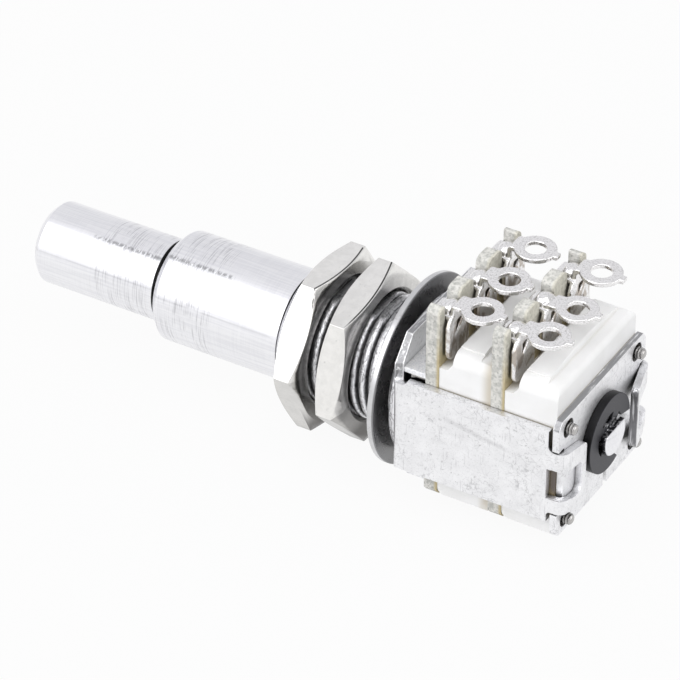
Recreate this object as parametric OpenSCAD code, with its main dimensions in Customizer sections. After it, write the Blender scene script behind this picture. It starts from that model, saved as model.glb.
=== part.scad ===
// Dual concentric rotary potentiometer, 12 mm class, with panel bush and solder lugs.
// The shafts turn about the X axis. Their tips point to -X and the solder lugs to +Z.
// The origin is on the shaft axis, at the front face of the steel frame. Millimetres.

/* [Shafts] */
// Diameter of the inner shaft where the knob sits
inner_d = 6; // [5:0.1:6.4]
// Length of inner shaft that stands out of the outer shaft
inner_reach = 10.5; // [6:0.5:20]
// Diameter of the outer shaft where the knob sits
outer_d = 8; // [7.6:0.1:8.2]
// Length of outer shaft that stands out of the bush
outer_reach = 10.4; // [6:0.5:20]
// Diameter of the outer shaft inside the bush
journal_d = 6.4; // [6:0.1:6.6]
// Diameter of the inner shaft inside the bush
core_d = 4; // [3.6:0.1:4.2]
// Diameter of the inner shaft behind the rear plate
stub_d = 2.9; // [2.6:0.1:3.2]
// Height of the flat on the rear end of the inner shaft above the axis
stub_flat = 0.6; // [0.5:0.1:1]
// Chamfer on the tip of each shaft
tip_chamfer = 0.5; // [0.2:0.1:0.8]
// Radial running clearance of each shaft
shaft_play = 0.05; // [0.03:0.01:0.1]

/* [Bush] */
// Outside diameter of the bush thread
bush_d = 9; // [8.8:0.1:9.4]
// Length of the bush in front of the frame
bush_len = 10.3; // [9.9:0.1:14]
// Height of the flat along the top of the thread above the axis
bush_flat = 4.2; // [4:0.05:4.4]
// Diameter of the collar that clamps the frame
collar_d = 11.6; // [10:0.2:12]
// Thickness of the collar
collar_t = 0.5; // [0.3:0.1:0.6]
// Diameter of the spigot behind the collar
spigot_d = 8; // [7.6:0.1:8.4]

/* [Nuts and washer] */
// Width of each nut across its flats
nut_flats = 11.5; // [11:0.5:12]
// Thickness of each nut
nut_t = 2; // [1.6:0.1:2.2]
// Distance from the bush end to the front nut
front_nut_back = 0.9; // [0.5:0.1:1.2]
// Gap between the two nuts
nut_gap = 1.2; // [1:0.1:1.6]
// Radial thread clearance of the nuts
nut_play = 0.05; // [0.03:0.01:0.1]
// Turn of the front nut about the shafts, in degrees
front_nut_turn = -3.5; // [-30:0.5:30]
// Turn of the rear nut about the shafts, in degrees
rear_nut_turn = 13.5; // [-30:0.5:30]
// Diameter of the washer
washer_d = 13.7; // [12:0.1:15]
// Thickness of the washer
washer_t = 0.5; // [0.4:0.1:0.8]
// Distance from the washer to the frame
washer_back = 1.1; // [0.7:0.1:1.5]
// Radial clearance of the washer on the bush
washer_play = 0.2; // [0.1:0.05:0.25]

/* [Frame] */
// Width of the frame over its side walls
frame_w = 12.2; // [12:0.1:12.6]
// Thickness of the frame and rear plate sheet
sheet_t = 0.5; // [0.4:0.05:0.5]
// Top of the side walls above the axis
wall_top = 3.55; // [3.3:0.05:3.8]
// Bottom of the side walls below the axis
wall_bottom = 3.85; // [3.7:0.05:4]
// Outer radius of the frame's bends
bend_r = 0.7; // [0.6:0.05:0.8]
// Top of the tab that stands up in front of the lugs
tab_top = 6.2; // [5.4:0.1:7]
// Half width of that tab at its top
tab_half = 4.3; // [3.6:0.1:4.8]
// Reach of each strap over the rear plate
strap_reach = 3; // [2.8:0.05:3.05]
// Angle by which the far strap stands open
strap_open = 12; // [0:1:15]

/* [Rear plate] */
// Top of the rear plate above the axis
plate_top = 4.4; // [4.2:0.1:4.8]
// Bottom of the rear plate below the axis
plate_bottom = 5; // [4.9:0.1:5.3]

/* [Boards] */
// Thickness of each element board
board_t = 1; // [0.8:0.1:1.2]
// Width of each element board
board_w = 11.1; // [11:0.05:11.15]
// Height of the board humps above the axis
hump_top = 9.7; // [9.2:0.1:10.4]
// Height of the notches for the lugs above the axis
notch_floor = 8.5; // [8.2:0.1:8.8]
// Width of each lug notch
notch_w = 2; // [1.8:0.1:2.2]
// Bottom of each board below the axis
board_bottom = 5.1; // [5:0.1:5.4]

/* [Solder lugs] */
// Spacing of the lugs
lug_pitch = 3.85; // [3.6:0.05:3.9]
// Thickness of the lug sheet
lug_t = 0.35; // [0.25:0.05:0.4]
// Outside diameter of the lug eyelet
eye_d = 2.9; // [2.6:0.1:3.2]
// Hole in the lug eyelet
eye_hole = 1.5; // [1.2:0.1:1.7]
// Distance from the board to the centre of the eyelet
eye_reach = 2.25; // [2.1:0.05:2.4]
// Top of the eyelet above the axis
eye_top = 9.55; // [9.4:0.05:9.8]
// Width of the tongue behind the board
tongue_w = 2.7; // [2.4:0.1:2.9]
// Length of the tongue below the board notch
tongue_l = 3; // [2.8:0.05:3.2]

/* [Housings] */
// Depth of each housing
housing_t = 3.9; // [3.8:0.1:4.4]
// Width of each housing
housing_w = 11; // [10.9:0.05:11.1]
// Bottom of each housing below the axis
housing_bottom = 5.25; // [5.2:0.05:5.5]
// Top of each housing above the axis
housing_top = 6.9; // [6.4:0.1:7.4]
// Height of the ledge under the lugs above the axis
ledge_z = 5.15; // [4.95:0.05:5.3]
// Diameter of the rotor chamber
chamber_d = 9.5; // [9.4:0.1:9.6]
// Thickness of the chamber's rear wall
chamber_wall = 0.8; // [0.6:0.1:0.8]

/* [Rotors and wipers] */
// Diameter of the rotor disc
rotor_d = 9; // [8.8:0.1:9]
// Thickness of the rotor disc
rotor_t = 1; // [0.8:0.1:1]
// Diameter of the rotor hub that runs in the board
hub_d = 7.2; // [7:0.1:7.3]
// Half angle of the stop boss on the rotor, in degrees
boss_half = 12; // [8:1:12]
// Half angle of the stop rib in the housing, in degrees
rib_half = 16; // [10:1:16]
// Thickness of the wiper sheet
wiper_t = 0.15; // [0.1:0.05:0.2]

/* [Posts] */
// Diameter of the four corner posts
post_d = 0.84; // [0.7:0.02:0.88]
// Sideways distance of the posts from the axis
post_y = 4.85; // [4.8:0.05:4.9]
// Height of the upper posts above the axis
post_up = 3.4; // [3.3:0.1:3.6]
// Depth of the lower posts below the axis
post_down = 4; // [3.8:0.1:4.2]

/* [Retaining ring] */
// Outside diameter of the retaining ring
ring_d = 5.7; // [5.4:0.1:5.8]
// Thickness of the retaining ring
ring_t = 0.6; // [0.5:0.05:0.65]
// Direction in which the ring opens, in degrees from +Y towards +Z
ring_turn = -30; // [-60:5:0]

/* [Hidden] */
$fn = 64;

// Clearance of parts that are pressed or stacked together
fit = 0.02;
// Overshoot of every cutting shape
cut = 1;

// Endplay of the shafts, and the gap behind each shoulder
end_play = 0.1;
shoulder_gap = 0.15;

// Stations along the shaft axis
base_x = sheet_t;
base_t = 1.65;
board_x1 = base_x + base_t;
unit_pitch = board_t + housing_t;
unit_x1 = board_x1 + board_t;
unit_x2 = unit_x1 + unit_pitch;
board_x2 = board_x1 + unit_pitch;
plate_x = unit_x2 + housing_t + fit;
plate_rear = plate_x + sheet_t;
outer_tip = -bush_len - outer_reach;
inner_tip = outer_tip - inner_reach;
shoulder_x = -bush_len - shoulder_gap;
bore_step = 1;
step_x = shoulder_x - bore_step;
front_nut_x = -bush_len + front_nut_back;
rear_nut_x = front_nut_x + nut_t + nut_gap;
washer_x = -washer_back - washer_t;

// Inside the rotor units, measured back from the rear face of the board
disc_u = 0.9;
boss_t = 0.8;
rib_gap = 0.2;
rib_u = disc_u + rotor_t + rib_gap;
boss_in = 2.9;
boss_out = 4.2;

// Drive flats of the two shafts
drive_d = 5.8;
drive_flats = 5.1;
core_flat = 1.5;

// Retaining ring and the groove that holds it
ring_gap = 0.05;
ring_x = plate_rear + ring_gap;
groove_d = 2.3;
stub_past_ring = 0.45;
stub_end = ring_x + ring_t + stub_past_ring;

// Posts are pressed into blind sockets in the base block
socket_floor = 0.4;

// Least metal round the spigot in the base block and in the frame's front wall
base_rim = 0.25;
wall_rim = 0.3;

// The tongues of the lugs stand this far behind their board, on a shelf of the housing
tongue_gap = 0.2;
shelf_u = tongue_gap + lug_t + 0.05;

// How handling has bent each lug: shift of its eyelet along X, and its lift
front_bends = [[0, 0.11], [-0.14, 0.14], [-0.27, 0.32]];
rear_bends = [[0, -0.06], [0.05, -0.32], [-0.24, 0.19]];

frame_half = frame_w / 2;
inside_half = frame_half - sheet_t;
strap_x = plate_rear + fit;
strap_top = 1.95;
strap_bottom = -3;
window_top = strap_top - 1.4;
window_bottom = strap_bottom + 1.1;
bend_relief = 0.35;

// Places a solid of revolution, drawn along Z, with its start at x on the shaft axis
module on_axis(x) {
    translate([x, 0, 0]) rotate([0, 90, 0]) children();
}

// Round bar or hole from x0 to x1 at the given side and height
module bar(x0, x1, d, y = 0, z = 0) {
    translate([x0, y, z]) rotate([0, 90, 0]) cylinder(h = x1 - x0, d = d);
}

// Extrudes an outline drawn in Y and Z along X
module along_x(x0, x1) {
    translate([x0, 0, 0]) rotate([90, 0, 90]) linear_extrude(x1 - x0) children();
}

// Extrudes an outline drawn in X and Z along Y
module along_y(y0, y1) {
    translate([0, y1, 0]) rotate([90, 0, 0]) linear_extrude(y1 - y0) children();
}

// Points of an arc about a centre, from one angle to another
function arc(c, r, a0, a1, n = 8) = [
    for (i = [0:n]) let (a = a0 + (a1 - a0) * i / n) [c[0] + r * cos(a), c[1] + r * sin(a)]
];

// Both sides of the post pattern, upper pair first
post_places = [for (z = [post_up, -post_down]) for (s = [-1, 1]) [s * post_y, z]];

// Holes for the four posts through whatever lies between x0 and x1
module post_holes(x0, x1, d) {
    for (p = post_places) bar(x0, x1, d, p[0], p[1]);
}

// Solid aluminium shaft, stepped down behind the outer shaft's shoulder
module inner_shaft() {
    front_r = inner_d / 2;
    core_r = core_d / 2;
    stub_r = stub_d / 2;
    groove_r = groove_d / 2;
    core_end = plate_x - shoulder_gap;
    groove_x = ring_x - fit;
    groove_end = ring_x + ring_t + fit;
    neck_r = front_r - 0.2;
    neck_x = outer_tip + 0.1;
    neck_end = neck_x + 0.6;
    front_end = step_x - end_play;
    edge = 0.1;
    color("gainsboro") difference() {
        on_axis(0) rotate_extrude() polygon([
            [0, inner_tip], [front_r - tip_chamfer, inner_tip], [front_r, inner_tip + tip_chamfer],
            // Neck just inside the mouth of the outer shaft, where the knob's seat ends
            [front_r, neck_x], [neck_r, neck_x], [neck_r, neck_end], [front_r, neck_end],
            [front_r, front_end], [core_r, front_end], [core_r, core_end],
            [stub_r, core_end], [stub_r, groove_x], [groove_r, groove_x],
            [groove_r, groove_end], [stub_r, groove_end], [stub_r, stub_end - edge],
            [stub_r - edge, stub_end], [0, stub_end]
        ]);
        // Flat for the rear rotor
        translate([board_x2 + end_play, -core_r, core_flat])
            cube([core_end - board_x2, core_d, core_r]);
        // Flat on the rear end
        translate([groove_end, -stub_r, stub_flat]) cube([cut, stub_d, stub_r]);
    }
}

// Hollow aluminium shaft that turns in the bush and drives the front rotor
module outer_shaft() {
    outer_r = outer_d / 2;
    journal_r = journal_d / 2;
    bore_r = inner_d / 2 + shaft_play;
    mouth = 0.15;
    seat_x = board_x1 + end_play;
    drive_x = seat_x - 0.5;
    drive_end = unit_x1 + disc_u + rotor_t + 0.3;
    color("silver") difference() {
        union() {
            on_axis(0) rotate_extrude() polygon([
                [0, outer_tip], [outer_r - tip_chamfer, outer_tip],
                [outer_r, outer_tip + tip_chamfer], [outer_r, shoulder_x],
                [journal_r, shoulder_x], [journal_r, seat_x], [0, seat_x]
            ]);
            intersection() {
                bar(drive_x, drive_end, drive_d);
                translate([drive_x, -drive_flats / 2, -drive_d])
                    cube([drive_end - drive_x, drive_flats, 2 * drive_d]);
            }
        }
        bar(outer_tip - cut, step_x, 2 * bore_r);
        bar(step_x - cut, drive_end + cut, core_d + 2 * shaft_play);
        on_axis(outer_tip) cylinder(h = mouth, r1 = bore_r + mouth, r2 = bore_r);
    }
}

// Threaded bush with a collar in front of the frame and a spigot behind it
module bush() {
    thread_r = bush_d / 2;
    chamfer = 0.35;
    edge = 0.1;
    color("dimgray") difference() {
        on_axis(0) rotate_extrude() polygon([
            [0, -bush_len], [thread_r - chamfer, -bush_len], [thread_r, -bush_len + chamfer],
            [thread_r, -collar_t], [collar_d / 2 - edge, -collar_t],
            [collar_d / 2, -collar_t + edge], [collar_d / 2, 0],
            [spigot_d / 2, 0], [spigot_d / 2, board_x1], [0, board_x1]
        ]);
        bar(-bush_len - cut, board_x1 + cut, journal_d + 2 * shaft_play);
        translate([-bush_len - cut, -thread_r, bush_flat])
            cube([bush_len - collar_t + cut, bush_d, cut]);
    }
}

// Die cast block between the frame and the front board, with a ledge along each side
module base_block() {
    top = spigot_d / 2 + base_rim;
    bottom = top + 0.65;
    ledge_t = 0.4;
    ledge_half = inside_half - 0.1;
    half = ledge_half - 0.45;
    color("darkgray") difference() {
        along_x(base_x, board_x1) {
            translate([-ledge_half, top - ledge_t]) square([2 * ledge_half, ledge_t]);
            translate([-half, -bottom]) square([2 * half, bottom + top]);
        }
        bar(base_x - cut, board_x1 + cut, spigot_d + 2 * fit);
        post_holes(base_x + socket_floor, board_x1 + cut, post_d + 2 * fit);
    }
}

// Thin hexagonal nut, chamfered on both faces
module nut(x, turn) {
    bore_r = bush_d / 2 + nut_play;
    sink = 0.3;
    face_r = nut_flats / 2 - 0.05;
    hex_r = nut_flats / 2 / cos(30);
    corner_r = hex_r + 0.1;
    slope = (corner_r - face_r) * tan(25);
    color("lightgray") difference() {
        intersection() {
            along_x(x, x + nut_t) rotate(turn) circle(r = hex_r, $fn = 6);
            on_axis(x) rotate_extrude() polygon([
                [0, 0], [face_r, 0], [corner_r, slope], [corner_r, nut_t - slope],
                [face_r, nut_t], [0, nut_t]
            ]);
        }
        bar(x - cut, x + nut_t + cut, 2 * bore_r);
        on_axis(x) cylinder(h = sink, r1 = bore_r + sink, r2 = bore_r);
        on_axis(x + nut_t - sink) cylinder(h = sink, r1 = bore_r, r2 = bore_r + sink);
    }
}

module front_nut() { nut(front_nut_x, front_nut_turn); }
module rear_nut() { nut(rear_nut_x, rear_nut_turn); }

// Plain steel washer that hangs loose on the bush
module washer() {
    color("silver") difference() {
        bar(washer_x, washer_x + washer_t, washer_d);
        bar(washer_x - cut, washer_x + washer_t + cut, bush_d + 2 * washer_play);
    }
}

// Outline of the frame's front wall, with its tab, shoulders and lower tab
module front_wall_outline() {
    side = frame_half - bend_r;
    shoulder_half = inside_half - 0.05;
    shoulder_z = wall_top + 1;
    slit_z = wall_top - bend_relief;
    lower_half = 2.6;
    lower_z = -spigot_d / 2 - wall_rim;
    polygon([
        [-side, -wall_bottom], [-side, slit_z - bend_relief], [-shoulder_half, slit_z],
        [-shoulder_half, shoulder_z], [-tab_half, tab_top], [tab_half, tab_top],
        [shoulder_half, shoulder_z], [shoulder_half, slit_z],
        [side, slit_z - bend_relief], [side, -wall_bottom],
        [lower_half, lower_z], [-lower_half, lower_z]
    ]);
}

// Outline of one side wall, notched at the rear for the ears of the plate
module side_wall_outline() {
    rear = strap_x + sheet_t - bend_r;
    notch_x = plate_x - 0.3;
    upper_r = 0.45;
    lower_r = 0.3;
    start = bend_r - 0.01;
    polygon(concat(
        [[start, -wall_bottom], [notch_x, -wall_bottom]],
        arc([notch_x + lower_r, strap_bottom - lower_r], lower_r, 180, 90, 4),
        [[rear, strap_bottom], [rear, strap_top]],
        arc([notch_x + upper_r, strap_top + upper_r], upper_r, 270, 180, 6),
        [[notch_x, wall_top], [bend_r + bend_relief, wall_top]],
        arc([bend_r, wall_top], bend_relief, 0, -90, 6),
        [[start, wall_top - bend_relief]]
    ));
}

// Quarter round bend about a vertical axis, from z0 to z1
module bend(x, y, start, z0, z1, sweep = 90) {
    translate([x, y, z0]) rotate([0, 0, start]) rotate_extrude(angle = sweep)
        translate([bend_r - sheet_t, 0]) square([sheet_t, z1 - z0]);
}

// Outline of the strap's leg over the plate, with a lobe at its lower free corner
module strap_outline(reach) {
    lobe = 0.45;
    lobe_start = 0.5;
    lower_r = 0.6;
    upper_r = 0.5;
    drop = 0.95;
    polygon(concat(
        [[0, strap_top], [0, strap_bottom], [lobe_start, strap_bottom - 0.7 * lobe]],
        arc([reach - lower_r, strap_bottom - lobe + lower_r], lower_r, -90, 0, 8),
        arc([reach - upper_r, strap_top - drop], upper_r, 0, 80, 6)
    ));
}

// Outline of the window in the strap's leg
module strap_window_outline(reach) {
    rim = 0.55;
    corner = 0.55;
    lobe = 0.4;
    lobe_start = 0.5;
    slope = 0.6;
    slope_w = 0.4;
    polygon(concat(
        [[-cut, window_top], [-cut, window_bottom], [0, window_bottom],
         [lobe_start, window_bottom - 0.7 * lobe]],
        arc([reach - rim - corner, window_bottom - lobe + corner], corner, -90, 0, 6),
        [[reach - rim, window_top - slope], [reach - rim - slope_w, window_top - slope / 2]]
    ));
}

// Side wall at -Y with the strap that folds round over the rear plate
module side_wall(open) {
    bend_x = strap_x + sheet_t - bend_r;
    bend_y = -frame_half + bend_r;
    leg = strap_reach - bend_r;
    sweep = 90 - open;
    difference() {
        union() {
            along_y(-frame_half, -inside_half) side_wall_outline();
            bend(bend_x, bend_y, -90, strap_bottom, strap_top, sweep);
            translate([bend_x, bend_y, 0]) rotate([0, 0, -open])
                along_x(bend_r - sheet_t, bend_r) strap_outline(leg);
        }
        // Window that runs round the bend
        translate([plate_x - 0.05, -frame_half - cut, window_bottom])
            cube([2 * cut, cut + bend_r, window_top - window_bottom]);
        translate([bend_x, bend_y, 0]) rotate([0, 0, -open])
            along_x(-bend_r, bend_r + cut) strap_window_outline(leg);
    }
}

// Folded steel frame: front wall, two side walls and two straps
module frame() {
    color("lightsteelblue") difference() {
        union() {
            along_x(0, sheet_t) front_wall_outline();
            for (s = [0, 1]) mirror([0, s, 0]) {
                bend(bend_r, -frame_half + bend_r, 180, -wall_bottom, wall_top - bend_relief);
                side_wall(s == 0 ? 0 : strap_open);
            }
        }
        bar(-cut, sheet_t + cut, spigot_d + 2 * fit);
    }
}

// Steel plate that closes the stack, with ears through the notches of the side walls
module rear_plate() {
    ear_half = frame_half + 0.02;
    ear_gap = 0.15;
    waist_half = inside_half - 0.25;
    ear_up = strap_top + ear_gap;
    ear_down = strap_bottom - ear_gap;
    corner_y = ear_half - 0.4;
    corner_z = plate_top - 0.5;
    foot_r = 0.6;
    foot_y = ear_half - foot_r;
    foot_z = -plate_bottom + foot_r;
    hole_d = stub_d + 0.2;
    post_hole_d = post_d + 0.52;
    slot_y = 0.6;
    slot_w = 0.5;
    slot_h = 1.3;
    color("lightgray") difference() {
        along_x(plate_x, plate_rear) polygon(concat(
            [[-corner_y, plate_top], [-ear_half, corner_z], [-ear_half, ear_up],
             [-waist_half, ear_up], [-waist_half, ear_down], [-ear_half, ear_down]],
            arc([-foot_y, foot_z], foot_r, 180, 270, 6),
            arc([foot_y, foot_z], foot_r, 270, 360, 6),
            [[ear_half, ear_down], [waist_half, ear_down], [waist_half, ear_up],
             [ear_half, ear_up], [ear_half, corner_z], [corner_y, plate_top]]
        ));
        bar(plate_x - cut, plate_rear + cut, hole_d);
        post_holes(plate_x - cut, plate_rear + cut, post_hole_d);
        translate([plate_x - cut, slot_y, -plate_bottom - cut])
            cube([sheet_t + 2 * cut, slot_w, cut + slot_h]);
    }
}

// Hump of a board from y0 to y1, with its upper corners rounded by the radii r0 and r1
module hump(y0, y1, r0, r1) {
    polygon(concat(
        [[y0, notch_floor - cut], [y1, notch_floor - cut]],
        arc([y1 - r1, hump_top - r1], r1, 0, 90, 6),
        arc([y0 + r0, hump_top - r0], r0, 90, 180, 6)
    ));
}

// Fibre board that carries three lugs and the printed resistance track
module board(x) {
    half = board_w / 2;
    knob_r = 0.45;
    knob_y = half - 0.6;
    hub_hole_d = hub_d + 0.3;
    hump_r = 0.5;
    corner_r = 0.55;
    inner_r = 0.1;
    color("beige") difference() {
        along_x(x, x + board_t) {
            translate([-half, -board_bottom]) square([board_w, board_bottom + notch_floor]);
            for (s = [0, 1]) mirror([s, 0]) {
                translate([knob_y, -board_bottom]) circle(knob_r);
                hump(notch_w / 2, lug_pitch - notch_w / 2, hump_r, hump_r);
                hump(lug_pitch + notch_w / 2, half, inner_r, corner_r);
            }
        }
        bar(x - cut, x + board_t + cut, hub_hole_d);
        post_holes(x - cut, x + board_t + cut, post_d + 2 * fit);
    }
}

module front_board() { board(board_x1); }
module rear_board() { board(board_x2); }

// Quarter round bend of lug sheet about an axis along Y
module lug_bend(x, z, start, w) {
    translate([x, w / 2, z]) rotate([90, 0, 0]) rotate([0, 0, start])
        rotate_extrude(angle = 90) square([lug_t, w]);
}

// Solder lug: a saddle over the board notch, a tongue down its rear and a flat eyelet
module lug(board_start, place, bends) {
    bent = bends[place + 1];
    eye_z = eye_top + bent[1];
    face = board_start + board_t;
    tongue_x = face + tongue_gap;
    tongue_r = 0.7;
    tongue_bottom = notch_floor - tongue_l;
    saddle_w = notch_w - 0.1;
    saddle_z = notch_floor + fit;
    tail_h = 0.7;
    neck_w = 1.5;
    eye_x = face + eye_reach + bent[0];
    half = tongue_w / 2;
    shoulder = saddle_z + lug_t;
    slope_z = saddle_z - lug_t;
    tab_w = 0.6;
    tab_end = eye_d / 2 + 0.3;
    slot_z = notch_floor - 1.1;
    slot_top = notch_floor - 0.15;
    color("whitesmoke") translate([0, place * lug_pitch, 0]) difference() {
        union() {
            // Tongue with a rounded lower end
            along_x(tongue_x, tongue_x + lug_t) polygon(concat(
                arc([-half + tongue_r, tongue_bottom + tongue_r], tongue_r, 180, 270, 6),
                arc([half - tongue_r, tongue_bottom + tongue_r], tongue_r, 270, 360, 6),
                [[half, slope_z], [saddle_w / 2, shoulder], [neck_w / 2, shoulder],
                 [neck_w / 2, eye_z - lug_t], [-neck_w / 2, eye_z - lug_t],
                 [-neck_w / 2, shoulder], [-saddle_w / 2, shoulder], [-half, slope_z]]
            ));
            // Saddle over the notch and its tail down the front of the board
            translate([board_start - fit, -saddle_w / 2, saddle_z])
                cube([tongue_x - board_start + 2 * fit, saddle_w, lug_t]);
            lug_bend(board_start - fit, saddle_z, 90, saddle_w);
            translate([board_start - fit - lug_t, -saddle_w / 2, saddle_z - tail_h])
                cube([lug_t, saddle_w, tail_h]);
            // Neck and eyelet
            lug_bend(tongue_x + lug_t, eye_z - lug_t, 90, neck_w);
            translate([tongue_x + lug_t, -neck_w / 2, eye_z - lug_t])
                cube([eye_x - tongue_x - lug_t, neck_w, lug_t]);
            translate([eye_x, 0, eye_z - lug_t]) cylinder(h = lug_t, d = eye_d);
            translate([eye_x, -tab_w / 2, eye_z - lug_t]) cube([tab_end, tab_w, lug_t]);
        }
        translate([eye_x, 0, eye_z - lug_t - cut]) cylinder(h = lug_t + 2 * cut, d = eye_hole);
        // Slot left open in the tongue below the bend
        along_x(face + fit, tongue_x + lug_t + cut)
            polygon([[-0.4, slot_z], [0.6, slot_top], [-0.3, slot_top]]);
    }
}

module front_lug_1() { lug(board_x1, -1, front_bends); }
module front_lug_2() { lug(board_x1, 0, front_bends); }
module front_lug_3() { lug(board_x1, 1, front_bends); }
module rear_lug_1() { lug(board_x2, -1, rear_bends); }
module rear_lug_2() { lug(board_x2, 0, rear_bends); }
module rear_lug_3() { lug(board_x2, 1, rear_bends); }

// Side view of a housing: ledge under the lugs, hood, and two steps at the rear
module housing_side(x) {
    top = housing_top;
    front_r = 0.5;
    foot_r = 0.5;
    hood_x = 1;
    ledge_h = 0.55;
    step_r = 0.5;
    step_z = top - 1;
    lip_r = 0.2;
    lip_end = housing_t - 1.05;
    translate([x, 0]) polygon(concat(
        arc([foot_r, -housing_bottom + foot_r], foot_r, 180, 270, 6),
        [[housing_t, -housing_bottom]],
        arc([housing_t - step_r, step_z], step_r, 0, 70, 6),
        [[lip_end, step_z + step_r]],
        arc([lip_end - lip_r, top - lip_r], lip_r, 30, 90, 3),
        arc([hood_x + front_r, top - front_r], front_r, 90, 170, 6),
        [[hood_x, ledge_z + ledge_h], [shelf_u, ledge_z], [0, ledge_z]]
    ));
}

// Front view of a housing: straight sides, rounded shoulders and a slightly arched top
module housing_front() {
    half = housing_w / 2;
    shoulder_r = 1;
    rise = 0.35;
    arch_r = (half * half + rise * rise) / (2 * rise);
    shoulder_z = housing_top - rise - shoulder_r;
    intersection() {
        union() {
            translate([-half, -housing_bottom - cut])
                square([housing_w, housing_bottom + cut + shoulder_z]);
            translate([-half + shoulder_r, 0]) square([housing_w - 2 * shoulder_r, housing_top]);
            for (s = [-1, 1]) translate([s * (half - shoulder_r), shoulder_z]) circle(shoulder_r);
        }
        translate([0, housing_top - arch_r]) circle(arch_r, $fn = 128);
    }
}

// Moulded housing whose chamber is open to the board in front of it
module housing(x) {
    half = housing_w / 2;
    wall_x = x + housing_t - chamber_wall;
    shaft_hole_d = core_d + 0.4;
    color("ivory") difference() {
        intersection() {
            along_y(-half, half) housing_side(x);
            along_x(x - cut, x + housing_t + cut) housing_front();
        }
        difference() {
            bar(x - cut, wall_x, chamber_d);
            // Rib at the top of the chamber that stops the rotor at both ends of its turn
            on_axis(x + rib_u) rotate([0, 0, 180 - rib_half]) rotate_extrude(angle = 2 * rib_half)
                translate([boss_in, 0]) square([chamber_d, housing_t]);
        }
        bar(wall_x - cut, x + housing_t + cut, shaft_hole_d);
        post_holes(x - cut, x + housing_t + cut, post_d + 2 * fit);
    }
}

module front_housing() { housing(unit_x1); }
module rear_housing() { housing(unit_x2); }

// Rotor disc with a hub through the board and a stop boss on its rear face
module rotor(x) {
    hub_x = x - board_t + end_play;
    disc_x = x + disc_u;
    disc_end = disc_x + rotor_t;
    root = 0.1;
    color("saddlebrown") difference() {
        union() {
            bar(hub_x, disc_x + root, hub_d);
            bar(disc_x, disc_end, rotor_d);
            on_axis(disc_end - root) rotate([0, 0, -boss_half])
                rotate_extrude(angle = 2 * boss_half)
                translate([boss_in, 0]) square([boss_out - boss_in, boss_t + root]);
        }
        children();
    }
}

// Front rotor, driven by the two flats of the outer shaft
module front_rotor() {
    x0 = board_x1 - cut;
    x1 = unit_x1 + housing_t;
    rotor(unit_x1) intersection() {
        bar(x0, x1, drive_d + 2 * fit);
        translate([x0, -drive_flats / 2 - fit, -drive_d])
            cube([x1 - x0, drive_flats + 2 * fit, 2 * drive_d]);
    }
}

// Rear rotor, driven by the flat of the inner shaft
module rear_rotor() {
    x0 = board_x2 - cut;
    x1 = unit_x2 + housing_t;
    rotor(unit_x2) intersection() {
        bar(x0, x1, core_d + 2 * fit);
        translate([x0, -core_d, -core_d]) cube([x1 - x0, 2 * core_d, core_d + core_flat + fit]);
    }
}

// Spring wiper: a ring on the rotor disc and two fingers that reach the board
module wiper(x) {
    seat = x + disc_u;
    finger_l = 2.6;
    finger_w = 0.4;
    finger_r = 4.1;
    ring_outer_d = rotor_d - 0.2;
    reach = disc_u - end_play;
    lean = asin((reach - wiper_t) / finger_l);
    color("goldenrod") difference() {
        union() {
            bar(seat - wiper_t, seat, ring_outer_d);
            for (side = [0, 180]) rotate([side, 0, 0])
                translate([seat - wiper_t, -finger_l / 2, finger_r - finger_w / 2])
                rotate([0, 0, lean]) cube([wiper_t, finger_l, finger_w]);
        }
        bar(seat - wiper_t - cut, seat + cut, hub_d + 2 * fit);
    }
}

module front_wiper() { wiper(unit_x1); }
module rear_wiper() { wiper(unit_x2); }

// Spring steel ring pushed into the groove of the inner shaft, open on one side
module retaining_ring() {
    grip_w = 0.9;
    mouth_in = 1.9;
    mouth_out = 5.2;
    hollow_d = 3.3;
    hold_d = groove_d + fit;
    color("darkslategray") along_x(ring_x, ring_x + ring_t) rotate(ring_turn) difference() {
        union() {
            difference() {
                circle(d = ring_d);
                circle(d = hollow_d);
            }
            for (a = [90, 180, 270]) rotate(a)
                translate([0, -grip_w / 2]) square([hollow_d / 2 + 0.2, grip_w]);
        }
        circle(d = hold_d);
        polygon([[0, -mouth_in / 2], [ring_d, -mouth_out / 2],
            [ring_d, mouth_out / 2], [0, mouth_in / 2]]);
    }
}

// Corner post from the base block to its round head behind the rear plate
module post(index) {
    p = post_places[index];
    r = post_d / 2;
    round_r = 0.22;
    start = base_x + socket_floor + fit;
    end = plate_rear + 0.6;
    color("silver") translate([0, p[0], p[1]]) on_axis(0) rotate_extrude() polygon(concat(
        [[0, start], [r, start]],
        arc([r - round_r, end - round_r], round_r, 0, 90, 6),
        [[0, end]]
    ));
}

module post_1() { post(0); }
module post_2() { post(1); }
module post_3() { post(2); }
module post_4() { post(3); }

inner_shaft();
outer_shaft();
bush();
base_block();
front_nut();
rear_nut();
washer();
frame();
rear_plate();
front_board();
rear_board();
front_lug_1();
front_lug_2();
front_lug_3();
rear_lug_1();
rear_lug_2();
rear_lug_3();
front_housing();
rear_housing();
front_rotor();
rear_rotor();
front_wiper();
rear_wiper();
retaining_ring();
post_1();
post_2();
post_3();
post_4();
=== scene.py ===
# %% [markdown]
# A dual concentric potentiometer is two volume controls on one panel hole: a solid shaft turns
# inside a hollow one, and each turns its own wiper in the steel frame at the back. The CAD model
# already holds every solid at its real size. This lesson dresses those solids: it rounds the
# edges that catch light, cuts the fine thread, and gives each metal, board and moulding a finish
# made of nodes. Loading the frame comes first.

# %% Load the frame
import math

import bmesh
import bpy
from mathutils import Matrix, Vector


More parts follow.
